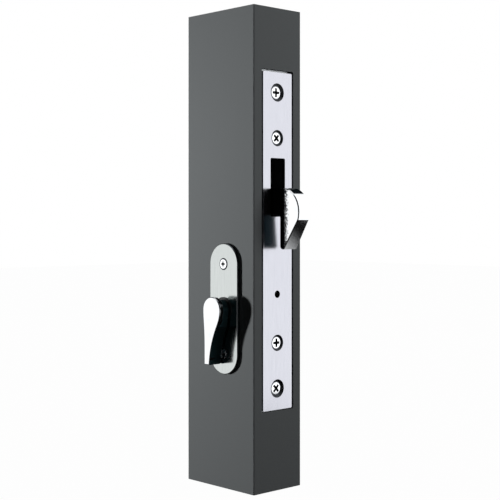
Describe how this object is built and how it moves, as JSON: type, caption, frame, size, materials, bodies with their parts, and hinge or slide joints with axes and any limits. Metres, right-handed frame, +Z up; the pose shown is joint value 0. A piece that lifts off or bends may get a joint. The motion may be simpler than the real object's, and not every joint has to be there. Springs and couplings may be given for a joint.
{
  "type": "sliding door hook lock",
  "caption": "Sliding door hook lock set in a short hollow stile: long faceplate with a swinging hook bolt, and an oblong plate with a teardrop thumbturn that drives it.",
  "frame": {"origin": "centre of the stile section's bottom end, on the plane that it stands on", "axes": "+Z up along the stile; +X out of the narrow side that carries the faceplate and hook; -Y out of the wide side that carries the thumbturn"},
  "size_m": [0.0839, 0.052, 0.295],
  "materials": {
    "grey_stile": "satin dark grey",
    "satin_faceplate": "fine satin",
    "satin_plate": "fine satin",
    "polished_chrome": "polished",
    "zinc_plated_steel": "dull zinc plate",
    "blackened_steel": "matt black phosphated",
    "cast_zinc": "as cast",
    "black_nylon": "moulded",
    "spring_steel": "bright",
    "mill_aluminium": "mill finish",
    "stainless_screw": "bright turned"
  },
  "bodies": {
    "lock": {"stile_section": "grey_stile", "faceplate": "satin_faceplate", "case_body": "blackened_steel", "case_cover": "blackened_steel", "hook_pivot_pin": "spring_steel", "turn_plate": "satin_plate", "turn_bush": "black_nylon", "wave_washer": "spring_steel", "upper_mounting_clip": "mill_aluminium", "end_screw_upper": "stainless_screw", "case_screw_upper": "stainless_screw", "guide_post_upper": "spring_steel", "case_post_upper": "spring_steel", "plate_screw_upper": "stainless_screw", "lower_mounting_clip": "mill_aluminium", "end_screw_lower": "stainless_screw", "case_screw_lower": "stainless_screw", "guide_post_lower": "spring_steel", "case_post_lower": "spring_steel", "plate_screw_lower": "stainless_screw"},
    "turn": {"thumbturn": "polished_chrome", "turn_spindle": "zinc_plated_steel", "follower": "cast_zinc", "drive_pin": "spring_steel", "retaining_ring": "spring_steel"},
    "slide": {"drive_slide": "zinc_plated_steel"},
    "hook": {"hook_bolt": "polished_chrome", "hook_tail_pin": "spring_steel"}
  },
  "joints": [
    {"name": "turn_hinge", "type": "hinge", "parent": "lock", "child": "turn", "pos_m": [0.0056, -0.02, 0.1107], "axis": [0, 1, 0], "range_deg": [0, 90]},
    {"name": "slide_travel", "type": "slide", "parent": "lock", "child": "slide", "axis": [0, 0, -1], "range_m": [0, 0.01415]},
    {"name": "hook_hinge", "type": "hinge", "parent": "lock", "child": "hook", "pos_m": [0.0167, 0, 0.16], "axis": [0, -1, 0], "range_deg": [0, 90]}
  ],
  "couplings": [
    {"joint": "slide_travel", "follows": "turn_hinge", "m_per_rad": 0.009003},
    {"joint": "hook_hinge", "follows": "turn_hinge", "ratio": 1}
  ]
}
